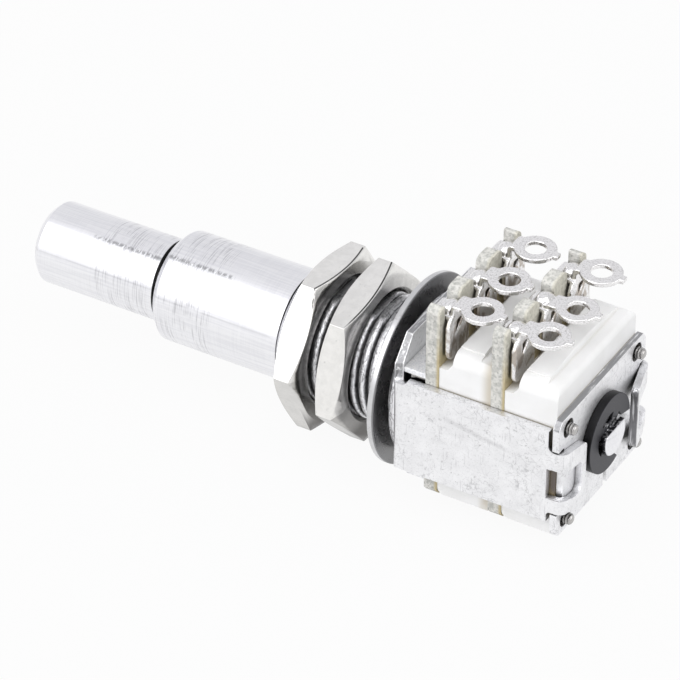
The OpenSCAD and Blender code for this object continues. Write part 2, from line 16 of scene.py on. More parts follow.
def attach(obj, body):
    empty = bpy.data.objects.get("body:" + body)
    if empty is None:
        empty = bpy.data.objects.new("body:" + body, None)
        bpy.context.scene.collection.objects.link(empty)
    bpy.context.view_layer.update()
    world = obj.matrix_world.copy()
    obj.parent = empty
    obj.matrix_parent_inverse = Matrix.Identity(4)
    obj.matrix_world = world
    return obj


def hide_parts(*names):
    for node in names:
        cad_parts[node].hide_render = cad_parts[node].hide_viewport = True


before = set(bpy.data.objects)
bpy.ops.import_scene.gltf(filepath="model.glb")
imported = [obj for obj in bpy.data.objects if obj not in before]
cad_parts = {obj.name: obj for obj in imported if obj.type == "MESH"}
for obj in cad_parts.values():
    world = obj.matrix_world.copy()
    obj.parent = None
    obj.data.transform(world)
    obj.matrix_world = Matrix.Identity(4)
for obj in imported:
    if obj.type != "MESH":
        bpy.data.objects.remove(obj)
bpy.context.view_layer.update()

MM = 0.001

# %% [markdown]
# The photograph was taken with a long lens from the right, about 36 degrees up. Such a lens keeps
# parallel edges almost parallel. A camera is placed by an angle round the object, an angle above
# the horizon and a distance, because those three numbers can be read off the ellipses of the
# shafts one at a time.

# %% Camera
def towards(azimuth, elevation):
    """Unit vector from the object to a place in the studio. Azimuth 0 is -Y and 90 is +X."""
    a, e = math.radians(azimuth), math.radians(elevation)
    return Vector((math.sin(a) * math.cos(e), -math.cos(a) * math.cos(e), math.sin(e)))


def add_object(name, data):
    """Puts new data in the scene as an object at the origin."""
    made = bpy.data.objects.new(name, data)
    bpy.context.scene.collection.objects.link(made)
    return made


look_at = Vector((-7.68, 0, -0.06)) * MM
look_from = towards(30.72, 36.02)
camera_distance = 266.58
camera = add_object("camera", bpy.data.cameras.new("camera"))
camera.data.lens = 206.27
camera.data.sensor_width = 36
camera.data.clip_start = 0.01
camera.location = look_at + look_from * camera_distance * MM
camera.rotation_euler = look_from.to_track_quat("Z", "Y").to_euler()
bpy.context.scene.camera = camera
print("camera at", [round(v / MM, 1) for v in camera.location], "mm")

# %% [markdown]
# Finishes are written as arithmetic. A wire is the output of one node, and adding or
# multiplying wires adds the Math nodes, so that a mask reads like a formula. The reflected forms
# are what lets a plain number stand first, as in 1 - mask.

# %% Wires
class Wire:
    """One output socket. Arithmetic on it adds Math nodes."""

    def __init__(self, finish, socket):
        self.finish, self.socket = finish, socket

    def maths(self, operation, first, second):
        return self.finish.node("ShaderNodeMath", {"operation": operation}, {0: first, 1: second})

    def __add__(self, other):
        return self.maths("ADD", self, other)

    def __radd__(self, other):
        return self.maths("ADD", other, self)

    def __sub__(self, other):
        return self.maths("SUBTRACT", self, other)

    def __rsub__(self, other):
        return self.maths("SUBTRACT", other, self)

    def __mul__(self, other):
        return self.maths("MULTIPLY", self, other)

    def __rmul__(self, other):
        return self.maths("MULTIPLY", other, self)

    def __abs__(self):
        return self.maths("ABSOLUTE", self, 0)

    def __pow__(self, other):
        return self.maths("POWER", self, other)


print("operators on a wire: + - * ** abs")

# %% [markdown]
# All other nodes come from one method, which takes the node's type, then its settings, then its
# values or links. The rest of the class names the few patterns that every finish here is made
# of: cloudy noise, steps, bands, thin veins, painted shade in narrow gaps, and height turned into
# a bump.
# Patterns are placed in millimetres on the piece itself, so that they ride along with it.

# %% Finishes
def colour(value):
    """Three numbers become a colour with full alpha. Wires and plain numbers stay as they are."""
    return (*value, 1) if isinstance(value, tuple) and len(value) == 3 else value


class Finish:
    """A material under construction, with its node tree and its main shader."""

    def __init__(self, name, tree=None):
        if tree is None:
            self.material = bpy.data.materials.new(name)
            self.material.use_nodes = True
            tree = self.material.node_tree
        self.tree = tree
        self.tree.nodes.clear()

    def node(self, kind, settings=None, inputs=None, output=0):
        made = self.tree.nodes.new(kind)
        for name, value in (settings or {}).items():
            setattr(made, name, value)
        for name, value in (inputs or {}).items():
            self.feed(made.inputs[name], value)
        return Wire(self, made.outputs[output]) if made.outputs else made

    def feed(self, socket, value):
        if isinstance(value, Wire):
            self.tree.links.new(value.socket, socket)
        else:
            socket.default_value = value

    def where(self, scale=(1, 1, 1), turn=(0, 0, 0), shift=(0, 0, 0)):
        """Place on the piece in millimetres, stretched by scale."""
        spot = self.node("ShaderNodeTexCoord", output="Object")
        return self.node("ShaderNodeMapping", None, {
            "Vector": spot, "Scale": [s / MM for s in scale],
            "Rotation": [math.radians(t) for t in turn], "Location": shift})

    def axes(self):
        """X, Y and Z in millimetres, as three wires."""
        split = self.node("ShaderNodeSeparateXYZ", None, {"Vector": self.where()})
        sockets = split.socket.node.outputs
        return [Wire(self, sockets[i]) for i in range(3)]

    def noise(self, where, scale=1.0, detail=3.0, rough=0.5, twist=0.0):
        """Cloudy noise from 0 to 1, with features of about 1 / scale millimetres."""
        return self.node("ShaderNodeTexNoise", {"noise_dimensions": "3D"}, {
            "Vector": where, "Scale": scale, "Detail": detail, "Roughness": rough,
            "Distortion": twist}, "Fac")

    def rise(self, value, low, high):
        """0 below low, 1 above high, and a smooth step between them."""
        return self.node("ShaderNodeMapRange", {"interpolation_type": "SMOOTHSTEP"}, {
            "Value": value, "From Min": low, "From Max": high})

    def band(self, value, low, high, soft):
        """1 between low and high, and 0 outside, with soft ends."""
        return self.rise(value, low, low + soft) * (1 - self.rise(value, high - soft, high))

    def veins(self, where, scale, width):
        """Thin winding lines, where cloudy noise crosses its middle."""
        cloud = self.noise(where, scale, detail=2, twist=0.6)
        return 1 - self.rise(abs(cloud - 0.5), 0, width)

    def mix(self, mask, first, second):
        """Colour that goes from first to second as mask goes from 0 to 1."""
        return self.node("ShaderNodeMix", {"data_type": "RGBA"}, {
            0: mask, 6: colour(first), 7: colour(second)}, 2)

    def open_air(self, reach):
        """1 on open faces and near 0 in gaps narrower than reach, in millimetres."""
        return self.node("ShaderNodeAmbientOcclusion", {"samples": 8}, {
            "Distance": reach * MM}, "AO")

    def shaded_in_gaps(self, tint, gap_shade, reach, shut, unshaded):
        """Tint with shade painted into its gaps: all shade where open_air is below shut,
        none above the last limit.
        """
        return self.mix(self.rise(self.open_air(reach), shut, unshaded), gap_shade, tint)

    def bump(self, height, depth):
        """Normal of a surface whose height goes from 0 to depth, in millimetres."""
        return self.node("ShaderNodeBump", None, {
            "Height": height, "Distance": depth * MM, "Strength": 1.0})

    def done(self, **sockets):
        """Feeds the main shader and closes the material."""
        shader = self.node("ShaderNodeBsdfPrincipled")
        for name, value in sockets.items():
            self.feed(shader.socket.node.inputs[name.replace("_", " ")], colour(value))
        self.node("ShaderNodeOutputMaterial", None, {"Surface": shader})
        return self.material


print("a finish has", ", ".join(name for name in vars(Finish) if not name.startswith("_")))

# %% [markdown]
# Nearly all of this object is bare metal, and bare metal shows only what stands round it. The
# shafts in the photograph have one white band with a clear edge, so one lamp is a wide panel in
# front of them. A second one above lights the lugs, and a third one low on the right lights the
# rear plate. The sky is pale everywhere and a little greyer on the right, so that edges which
# face it stand out.

# %% Lamps and sky
def add_panel(name, azimuth, elevation, distance, width, height, power):
    """Soft lamp that faces the object. Lengths are in metres and power in watts."""
    data = bpy.data.lights.new(name, "AREA")
    data.shape, data.size, data.size_y, data.energy = "RECTANGLE", width, height, power
    lamp = add_object(name, data)
    lamp.location = towards(azimuth, elevation) * distance
    lamp.rotation_euler = towards(azimuth, elevation).to_track_quat("Z", "Y").to_euler()


add_panel("front_panel", -25, 38, 0.6, 0.6, 0.62, 1.84)
add_panel("top_panel", 60, 70, 0.7, 0.5, 0.5, 0.9)
add_panel("rear_panel", 105, 12, 0.7, 0.6, 0.5, 1.5)

world = bpy.data.worlds.new("studio")
bpy.context.scene.world = world
world.use_nodes = True
sky = Finish("studio", world.node_tree)
spot = sky.node("ShaderNodeTexCoord", output="Generated")
facing = sky.node("ShaderNodeVectorMath", {"operation": "DOT_PRODUCT"}, {
    0: spot, 1: tuple(towards(110, 5))}, "Value")
glow = sky.mix(sky.rise(facing, -0.1, 0.9), (0.87, 0.87, 0.89), (0.68, 0.68, 0.69))
sky.node("ShaderNodeOutputWorld", None, {
    "Surface": sky.node("ShaderNodeBackground", None, {"Color": glow, "Strength": 0.95})})
bpy.context.scene.view_settings.view_transform = "Standard"
print("lamps:", ", ".join(sorted(lamp.name for lamp in bpy.data.lights)))

# %% [markdown]
# The floor is white to the eye and to the metal, but keeps the shadow. A floor lit to pure white
# would need so much light that the object burnt out. So most of what camera rays and reflections
# see there is a plain white glow, and the small rest is matt paper that takes the shadow. All
# other rays meet only the paper, so that the glow itself lights nothing.

# %% Floor
FLOOR_Z = -6.87 * MM
floor_mesh = bmesh.new()
bmesh.ops.create_grid(floor_mesh, x_segments=1, y_segments=1, size=2,
                      matrix=Matrix.Translation((0, 0, FLOOR_Z)))
floor_data = bpy.data.meshes.new("floor")
floor_mesh.to_mesh(floor_data)
floor_mesh.free()
floor = add_object("floor", floor_data)
paper = Finish("paper")
camera_ray, glossy_ray, clear_ray = [
    paper.node("ShaderNodeLightPath", output=name)
    for name in ("Is Camera Ray", "Is Glossy Ray", "Is Transmission Ray")]
seen = camera_ray * 0.94 + (glossy_ray + clear_ray) * 0.92
plain = paper.node("ShaderNodeBsdfDiffuse", None, {"Color": (0.55, 0.55, 0.55, 1)})
white = paper.node("ShaderNodeEmission", None, {"Color": (1, 1, 1, 1), "Strength": 1.0})
paper.node("ShaderNodeOutputMaterial", None, {
    "Surface": paper.node("ShaderNodeMixShader", None, {0: seen, 1: plain, 2: white})})
floor_data.materials.append(paper.material)
print("floor at", round(FLOOR_Z / MM, 2), "mm")

# %% [markdown] Every piece goes through one helper at its end. Weighted normals let the large
# flat faces win over the narrow rounded edges, so that flats stay flat.

# %% Finish a piece
def finished(name, mesh, body, material, node):
    """Turns a bmesh into a smooth shaded piece that rides on a body and replaces a CAD node."""
    data = bpy.data.meshes.new(name)
    mesh.to_mesh(data)
    mesh.free()
    for face in data.polygons:
        face.use_smooth = True
    piece = add_object(name, data)
    piece.data.materials.append(material)
    piece.modifiers.new("even", "WEIGHTED_NORMAL").weight = 80
    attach(piece, body)
    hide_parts(node)
    print(name, len(data.polygons), "faces")


# %% [markdown]
# What is stamped, cast or moulded is a copy of the CAD solid whose sharp edges are rounded,
# because real edges are never sharp and their rounding is what draws the bright lines in the
# photograph. A CAD solid arrives as loose triangles. They are joined and the flat ones merged
# first, so that a bevel finds real edges only. An edge counts as sharp from 25 degrees up, which
# leaves the fine steps of the CAD model's curves alone.

# %% Rounded copies of CAD solids
SHARP = 25


def cad_copy(node):
    """A CAD solid as a clean bmesh: its loose triangles are joined, and flat ones merged."""
    mesh = bmesh.new()
    mesh.from_mesh(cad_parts[node].data)
    bmesh.ops.remove_doubles(mesh, verts=mesh.verts, dist=1e-7)
    bmesh.ops.dissolve_limit(mesh, angle_limit=math.radians(0.5), verts=mesh.verts,
                             edges=mesh.edges, use_dissolve_boundaries=False)
    return mesh


def sharp_edges(mesh):
    """Edges between two faces that meet at more than the angle SHARP, in degrees."""
    limit = math.radians(SHARP)
    return [e for e in mesh.edges if len(e.link_faces) == 2 and e.calc_face_angle() > limit]


def soften(mesh, width, segments=2):
    """Rounds the sharp edges of a bmesh by a width in millimetres."""
    bmesh.ops.bevel(mesh, geom=sharp_edges(mesh), offset=width * MM, segments=segments,
                    profile=0.5, affect="EDGES", clamp_overlap=True, material=-1)
    return mesh


def softened(node, width, body, material, segments=2):
    """The rounded copy that stands for a CAD node."""
    finished(node + "_dressed", soften(cad_copy(node), width, segments), body, material,
             node)


trial = cad_copy("frame")
print("the frame has", len(trial.edges), "edges, of which", len(sharp_edges(trial)), "are sharp")
trial.free()

# %% [markdown]
# What a lathe makes is spun from half of its outline, drawn as stations along the shaft and
# distances from its axis. The corners of the outline are rounded before the spin, while each is
# still one point. A full spin merges its last step into its first, and the poles close when
# their doubles are merged.

# %% Lathe forms
def outline(mesh, points, closed=False):
    """Vertices through points given as (along X, distance from the axis), joined by edges."""
    verts = [mesh.verts.new((x * MM, 0, r * MM)) for x, r in points]
    ends = verts[1:] + verts[:1] if closed else verts[1:]
    for pair in zip(verts, ends):
        mesh.edges.new(pair)
    return verts


def turned(points, corner=0.0, steps=112):
    """Solid of revolution about the shaft axis, with every corner rounded."""
    mesh = bmesh.new()
    verts = outline(mesh, points, closed=points[0][1] > 0)
    if corner:
        bmesh.ops.bevel(mesh, geom=[v for v in verts if v.co.z > 0 and len(v.link_edges) == 2],
                        offset=corner * MM, segments=3, profile=0.5, affect="VERTICES",
                        clamp_overlap=True, material=-1)
    bmesh.ops.spin(mesh, geom=mesh.verts[:] + mesh.edges[:], cent=(0, 0, 0), axis=(1, 0, 0),
                   angle=math.tau, steps=steps, use_merge=True)
    bmesh.ops.remove_doubles(mesh, verts=mesh.verts, dist=1e-7)
    bmesh.ops.recalc_face_normals(mesh, faces=mesh.faces)
    return mesh


trial = turned([(0, 0), (0, 4), (2, 4), (2, 0)], 0.1)
print("a trial disc has", len(trial.faces), "faces and",
      sum(e.is_boundary for e in trial.edges), "open edges")
trial.free()

# %% [markdown]
# Turned aluminium is bright, and the tool leaves fine rings round it. Rings are noise that is
# squeezed along the axis and drawn out round it, used as height, so that they move the
# reflections instead of being painted on. The rings cover one stretch of each shaft, and the
# rest was drawn, not turned, and is smoother. A dark broken scratch runs along the top of both
# shafts, and a fainter dark line below it. Where a shaft goes into the next hole a black band
# of painted shade stands for the shadow of that gap, and behind the ring the side of the inner
# shaft is dark with a few bright chips.

# %% Turned aluminium
UPPER_SCRATCH, LOWER_LINE = 117, 161


def along_mark(f, y, z, angle, width):
    """A line along the shaft, at an angle from +Y towards +Z, on the upper half only."""
    a = math.radians(angle)
    return (1 - f.rise(abs(z * math.cos(a) - y * math.sin(a)), 0, width)) * f.rise(z, -0.2, 0.2)


def turned_aluminium(name, rings, scratch, hole_shade):
    """Bare aluminium. The three stretches of the shaft, in millimetres, are where the tool marks
    are, where the scratch is, and the black band of painted shade at the next hole."""
    f = Finish(name)
    x, y, z = f.axes()
    fine = f.noise(f.where((9, 0.35, 0.35)), detail=4, rough=0.65)
    tool = f.noise(f.where((10, 0.3, 0.3), shift=(5, 0, 0)), detail=2, rough=0.6)
    drawn = f.noise(f.where((0.25, 7, 7), shift=(0, 3, 9)), detail=3)
    grain = f.noise(f.where((11, 11, 11)), detail=3, rough=0.6)
    patch = f.noise(f.where((0.5, 0.9, 0.9), shift=(1, 6, 2)), detail=2)
    ringed = f.band(x, *rings, 1.0) * f.rise(patch, 0.3, 0.5)
    cuts = f.rise(tool, 0.52, 0.62) * ringed
    gaps = f.noise(f.where((7, 2, 2), shift=(4, 1, 8)), detail=3, rough=0.7)
    upper = along_mark(f, y, z, UPPER_SCRATCH, 0.26) * f.band(x, *scratch, 0.6)
    upper = upper * f.rise(gaps, 0.42, 0.52)
    # A fainter dark line along the shaft, lower down its side.
    lower = along_mark(f, y, z, LOWER_LINE, 0.12) * f.rise(patch, 0.35, 0.5)
    tint = f.mix(f.rise(drawn + fine * 0.5, 0.55, 0.95), (0.82, 0.82, 0.85), (0.91, 0.91, 0.93))
    tint = f.mix(cuts * 0.5 + lower * 0.3, tint, (0.42, 0.42, 0.44))
    tint = f.mix(upper * 0.7, tint, (0.18, 0.18, 0.19))
    # Painted shade: a black band where the shaft goes into the next hole, for the shadow of that
    # gap.
    tint = f.mix(f.band(x + z * 0.04, *hole_shade, 0.06), tint, (0.01, 0.01, 0.01))
    chips = f.rise(f.noise(f.where((3, 3, 3), shift=(1, 1, 5)), detail=3, rough=0.7), 0.5, 0.6)
    stub_side = f.rise(x, 12.9, 12.95) * (1 - f.rise(x, 13.48, 13.52)) * (1 - chips * 0.6)
    tint = f.mix(stub_side, tint, (0.03, 0.03, 0.035))
    height = fine * (0.3 + ringed * 0.6) - cuts * 0.7 + drawn * 0.3 + grain * 0.4 - upper * 0.6
    return f.done(Base_Color=tint, Metallic=1.0, Roughness=0.22 + fine * 0.1 + grain * 0.1,
                  Normal=f.bump(height, 0.005))


inner_metal = turned_aluminium("turned_inner", rings=(-26.5, -21), scratch=(-27, -20.9),
                               hole_shade=(-21.17, -20.6))
outer_metal = turned_aluminium("turned_outer", rings=(-20.8, -15.4), scratch=(-20.9, -14.8),
                               hole_shade=(-10.4, -10.0))
print("made", inner_metal.name, "and", outer_metal.name)

# %% [markdown]
# Zinc that was cast in a die is grey and dull. On the bush the crests of the thread are rubbed
# bright and the grooves stay dark with oil and oxide, so the distance from the axis makes the
# mask. Its end face is bright too, and shade is painted into the narrow gaps of the thread. The
# block behind the frame was never touched and keeps a fine pale grain, and a black band of
# painted shadow runs along its side where it goes down behind the frame's wall.

# %% Cast zinc
def thread_zinc():
    f = Finish("thread_zinc")
    x, y, z = f.axes()
    radius = (y * y + z * z) ** 0.5
    mottle = f.noise(f.where((1.5, 3, 3)), scale=1.6, detail=5, rough=0.6)
    brushed = f.noise(f.where((8, 1.2, 1.2), shift=(2, 0, 5)), detail=3, rough=0.6)
    crest = f.rise(radius + mottle * 0.2, 4.46, 4.58)
    end_face = 1 - f.rise(x, -9.95, -9.85)
    rubbed = crest * (1 - end_face) + end_face
    tint = f.mix(rubbed, (0.42, 0.42, 0.43), (0.90, 0.90, 0.92))
    torn = f.veins(f.where((1.2, 1, 1)), 1.5, 0.05) + f.rise(brushed, 0.5, 0.62) * 0.7
    tint = f.mix(torn * (0.75 - rubbed * 0.35), tint, (0.14, 0.14, 0.145))
    # Painted shade: gaps narrower than 0.7 mm are darkened, except on the end face.
    tint = f.mix(f.rise(f.open_air(0.7) + end_face, 0.0, 0.55), (0.14, 0.14, 0.14), tint)
    return f.done(Base_Color=tint, Metallic=1.0, Roughness=0.42 - rubbed * 0.14 + mottle * 0.1,
                  Normal=f.bump(mottle + brushed * 0.5 - torn * 0.3, 0.05))


def cast_zinc():
    f = Finish("cast_zinc")
    _, _, z = f.axes()
    coarse = f.noise(f.where(), scale=9, detail=4, rough=0.7)
    pits = f.noise(f.where(shift=(3, 1, 2)), scale=4, detail=2)
    tint = f.mix(f.rise(coarse, 0.35, 0.65), (0.78, 0.79, 0.82), (1.0, 1.0, 1.0))
    tint = f.mix(f.rise(pits, 0.6, 0.7) * 0.5, tint, (0.3, 0.3, 0.32))
    # Painted shadow: a black band on the side that goes down behind the frame's wall.
    tint = f.mix(f.band(z, 1.5, 3.95, 0.25), tint, (0.01, 0.01, 0.01))
    return f.done(Base_Color=tint, Metallic=0.85, Roughness=0.42 + coarse * 0.2,
                  Normal=f.bump(coarse, 0.02))


bush_metal, block_metal = thread_zinc(), cast_zinc()
print("made", bush_metal.name, "and", block_metal.name)

# %% [markdown]
# Nickel plate on the nuts is slightly warm and soft in its shine. The washer is the same plate
# on rolled sheet, and its rear is painted dark for the shade of the gap behind it. The posts are
# darker. Three things are drawn on the nuts by measuring from their rear face: a thin dark line
# along the upper edges, where the chamfer was cut, painted shade on the faces below their near
# corner, and more painted shade low on the rear face. Shade is also painted into narrow gaps.
# A chamfer is a cone, so a station along the axis plus a share of the radius follows it. The share
# is the tangent of the chamfer's 25 degrees, from the radius where the round face of a nut ends.

# %% Nickel plate
NUT_ROUND = 5.7
CHAMFER = 0.466


def nickel(name, tone, rough, gap_darkening, shade_behind=99, nuts=()):
    """Nickel plate. The number after the roughness is how strongly shade is painted into narrow
    gaps, and the next one the station behind which the metal is painted dark for shade. nuts gives
    each nut's rear face, near corner in degrees, and how strongly shade is painted below it."""
    f = Finish(name)
    x, y, z = f.axes()
    cloud = f.noise(f.where(), scale=1.3, detail=4, rough=0.6)
    grain = f.noise(f.where(shift=(2, 7, 1)), scale=12, detail=3, rough=0.6)
    specks = f.rise(f.noise(f.where(shift=(8, 2, 5)), scale=5, detail=2), 0.69, 0.75)
    tint = f.mix(f.rise(cloud, 0.35, 0.65), tone, tuple(min(1, v * 1.08) for v in tone))
    tint = f.mix(specks * 0.35, tint, (0.3, 0.29, 0.28))
    # Painted shade: behind the given station the metal turns dark, for the gap behind the washer.
    tint = f.mix(f.rise(x, shade_behind, shade_behind + 0.08) * 0.72, tint, (0.10, 0.10, 0.105))
    radius = (y * y + z * z) ** 0.5
    cone = x + (radius - NUT_ROUND) * CHAMFER
    for rear_face, corner, nut_shade in nuts:
        a = math.radians(corner)
        under = f.rise(z * math.cos(a) - y * math.sin(a), 0, 0.1)
        here = f.band(x, rear_face - 2.1, rear_face + 0.1, 0.04)
        rear = f.rise(cone - rear_face, -0.55, -0.5)
        rear = rear * f.rise(x, rear_face - 0.5, rear_face - 0.45)
        low = rear * (1 - f.rise(z, -5, -2.5)) * 0.7
        # Painted shade on the faces under each nut's near corner, and low on its rear face.
        tint = f.mix(under * here * (low + nut_shade), tint, (0.13, 0.125, 0.12))
    # Painted shade in narrow gaps, found by ambient occlusion.
    gap_shade = (1 - f.rise(f.open_air(3.0) + cloud * 0.2, 0.25, 0.95)) * gap_darkening
    tint = f.mix(gap_shade, tint, (0.06, 0.055, 0.05))
    upper = f.rise(z + y * 0.5, 2.4, 3.4) * f.rise(cloud, 0.36, 0.44)
    upper = upper * f.rise(radius, NUT_ROUND, NUT_ROUND + 0.04)
    for rear_face, _, _ in nuts:
        # A thin dark line along the upper edges of each chamfer.
        edge_line = f.band(cone - rear_face, -0.17, -0.02, 0.04) * upper
        tint = f.mix(edge_line, tint, (0.04, 0.04, 0.04))
    return f.done(Base_Color=tint, Metallic=1.0, Roughness=rough + cloud * 0.08,
                  Normal=f.bump(grain * 0.6 + cloud * 0.4, 0.004))


nut_metal = nickel("nut_nickel", (0.83, 0.82, 0.80), 0.2, 0.62,
                   nuts=((-7.4, 176.5, 0.26), (-4.2, 193.5, 0.46)))
washer_metal = nickel("washer_nickel", (0.62, 0.62, 0.63), 0.24, 0.5, shade_behind=-1.24)
post_metal = nickel("post_nickel", (0.46, 0.45, 0.44), 0.2, 0.8)
print("made", nut_metal.name, washer_metal.name, post_metal.name)

# %% [markdown]
# Tin plate on the frame is paler and full of small marks, because the sheet was plated before it
# was cut and folded. The marks are specks, scratches in two directions, fine wrinkles, and one
# long faint crease across the near wall. Where the sheet was cut its grey steel shows, so both
# the frame and the plate are told where such an edge is. The far leg of the strap is streaked.

# %% Tin plate
def scratches(f, turn, shift):
    """Thin broken lines across one direction."""
    lines = f.noise(f.where((9, 9, 0.5), turn=turn, shift=shift), detail=2, rough=0.5)
    breaks = f.noise(f.where((0.8, 0.8, 0.8), shift=shift), detail=1)
    return f.rise(lines, 0.64, 0.7) * f.rise(breaks, 0.42, 0.6)


def tinplate(name, metallic, unshaded, sheared, lowest):
    """Tin plated sheet, with shade painted dark into gaps less open than the given limit. Its cut
    edge shows over the stretch sheared of X, above the lowest Z."""
    f = Finish(name)
    x, y, z = f.axes()
    cloud = f.noise(f.where(), scale=0.9, detail=5, rough=0.62)
    grain = f.noise(f.where(shift=(1, 4, 6)), scale=7, detail=4, rough=0.7)
    specks = f.rise(f.noise(f.where(shift=(6, 2, 9)), scale=3.2, detail=3, rough=0.6), 0.6, 0.68)
    marks = scratches(f, (0, 35, 0), (3, 1, 7)) + scratches(f, (20, -20, 0), (9, 5, 2))
    worn = f.rise(f.noise(f.where(shift=(5, 5, 3)), scale=0.55, detail=2), 0.42, 0.62)
    wrinkles = f.veins(f.where(), 1.6, 0.035) * worn
    wrinkles = wrinkles + f.veins(f.where(shift=(7, 1, 1)), 3.4, 0.03) * 0.6
    off_crease = abs(z - 2.4 + x * 0.157 + cloud * 0.3)
    near_wall = 1 - f.rise(y, -6, -5.9)
    crease = (1 - f.rise(off_crease, 0.05, 0.32)) * f.band(x, 3.2, 9.4, 1.5) * near_wall
    tint = f.mix(f.rise(cloud, 0.3, 0.7), (0.86, 0.86, 0.875), (0.94, 0.94, 0.955))
    tint = f.mix(specks * f.rise(grain, 0.4, 0.6) * 0.6, tint, (0.4, 0.4, 0.4))
    tint = f.mix(marks * 0.4 + wrinkles * 0.4 + crease * 0.25, tint, (0.42, 0.42, 0.43))
    torn = f.noise(f.where((4, 0.6, 4), shift=(2, 1, 1)), detail=3, rough=0.7)
    edge = f.band(x, *sheared, 0.04) * f.rise(z, lowest, lowest + 0.2)
    tint = f.mix(edge * f.rise(torn, 0.3, 0.5), tint, (0.34, 0.34, 0.35))
    far_leg = f.rise(x, 12.5, 12.6) * f.band(y, 2.9, 3.6, 0.1)
    drawn = f.noise(f.where((4, 4, 0.35), shift=(6, 3, 3)), detail=2, rough=0.6)
    tint = f.mix(far_leg * f.rise(drawn, 0.38, 0.54) * 0.9, tint, (0.14, 0.14, 0.15))
    # Painted shade in the gaps of the sheet.
    tint = f.shaded_in_gaps(tint, (0.10, 0.10, 0.10), 0.8, 0.15, unshaded)
    height = cloud * 1.2 + grain * 0.5 - marks * 0.4 - wrinkles * 0.5 - crease * 0.6
    return f.done(Base_Color=tint, Metallic=metallic, Roughness=0.3 + grain * 0.14,
                  Normal=f.bump(height, 0.014))


frame_metal = tinplate("frame_tin", 1.0, 0.75, sheared=(0.03, 0.47), lowest=3.3)
plate_metal = tinplate("plate_tin", 0.8, 0.45, sheared=(11.99, 12.45), lowest=3.7)
print("made", frame_metal.name, "and", plate_metal.name)

# %% [markdown]
# The lugs were dipped in molten tin, which is brighter than plate and settles in soft waves. The
# waves are a few hundredths of a millimetre high, too low to need form, so they are height in the
# finish. Flux has run down the legs in brown streaks, and shade is painted into their tight
# corners. The ring is blackened steel, with a painted sheen that makes its rear face greyer.

# %% Dipped tin and blackened steel
def dipped_tin():
    f = Finish("dipped_tin")
    waves = f.noise(f.where(), scale=1.7, detail=3, rough=0.5, twist=0.4)
    grain = f.noise(f.where(shift=(4, 4, 1)), scale=9, detail=3, rough=0.65)
    streaks = f.noise(f.where((0.5, 1.1, 0.5), turn=(35, 0, 0), shift=(2, 5, 1)), detail=2,
                      twist=1.2)
    tint = f.mix(f.rise(grain, 0.45, 0.7), (0.90, 0.89, 0.89), (0.66, 0.65, 0.65))
    leg = 1 - f.rise(f.axes()[2], 8.2, 8.8)
    tint = f.mix(f.rise(streaks, 0.46, 0.56) * leg * 0.75, tint, (0.38, 0.32, 0.26))
    # Painted shade in the tight corners of the lugs.
    tint = f.shaded_in_gaps(tint, (0.16, 0.14, 0.11), 0.5, 0.1, 0.6)
    return f.done(Base_Color=tint, Metallic=1.0, Roughness=0.14 + grain * 0.16,
                  Normal=f.bump(waves + grain * 0.12, 0.05))


def blackened_steel():
    f = Finish("blackened_steel")
    grain = f.noise(f.where(), scale=8, detail=4, rough=0.6)
    # Painted sheen: the rear face is greyer than the sides.
    painted_sheen = f.rise(f.axes()[0], 13.06, 13.11)
    tint = f.mix(painted_sheen, (0.008, 0.008, 0.009), (0.055, 0.055, 0.062))
    tint = f.mix(f.rise(grain, 0.5, 0.7) * painted_sheen * 0.5, tint, (0.11, 0.11, 0.12))
    return f.done(Base_Color=tint, Metallic=0.6, Roughness=0.4 + grain * 0.15,
                  Normal=f.bump(grain, 0.006))


lug_metal, ring_metal = dipped_tin(), blackened_steel()
print("made", lug_metal.name, "and", ring_metal.name)

# %% [markdown]
# The boards are pale paper laminate, sawn at the edge, where the layers show as specks. An image
# of paper would need a flat layout for every face, while noise runs through the solid and has no
# seams. The face that carries the lugs is yellower, and flux has stained it amber lower down.
# Which face that is comes from the place along the shaft, because both boards share one finish.

# %% Fibre boards
BOARD_FACES = (3.15, 8.05)


def fibre_board():
    f = Finish("fibre_board")
    x, _, z = f.axes()
    layers = f.noise(f.where(), scale=3, detail=4, rough=0.6)
    torn = f.noise(f.where((2.0, 2.0, 1.0), shift=(2, 2, 2)), scale=2.0, detail=4, rough=0.7)
    blots = f.rise(f.noise(f.where(shift=(4, 4, 4)), scale=3.8, detail=3, rough=0.65), 0.55, 0.63)
    tint = f.mix(f.rise(layers, 0.35, 0.65), (0.48, 0.48, 0.45), (0.73, 0.72, 0.68))
    tint = f.mix(f.rise(torn, 0.58, 0.66) * 0.5, tint, (0.80, 0.80, 0.77))
    tint = f.mix(blots * 0.5, tint, (0.28, 0.28, 0.26))
    front, rear = (f.rise(x, face - 0.3, face - 0.05) for face in BOARD_FACES)
    lug_face = front * (1 - f.rise(x, 5, 5.1)) + rear
    stain = lug_face * (1 - f.rise(z + layers * 1.5, 6.2, 9.0))
    tint = f.mix(lug_face * 0.4, tint, (0.64, 0.60, 0.45))
    tint = f.mix(stain * 0.8, tint, (0.50, 0.40, 0.19))
    # Painted shade in the gaps round the boards.
    tint = f.shaded_in_gaps(tint, (0.10, 0.09, 0.07), 0.5, 0.1, 0.55)
    return f.done(Base_Color=tint, Roughness=0.55 + torn * 0.2,
                  Normal=f.bump(torn + layers * 0.5, 0.08))


board_fibre = fibre_board()
print("made", board_fibre.name)

# %% [markdown]
# The housings are white nylon with a soft shine. Flux has crept a little way over the front one
# from the rear board. The rear one has dark brown shade painted where the frame's windows show
# it, and both have shade painted into their gaps. The rotors inside are brown phenolic with
# wipers of rolled bronze.

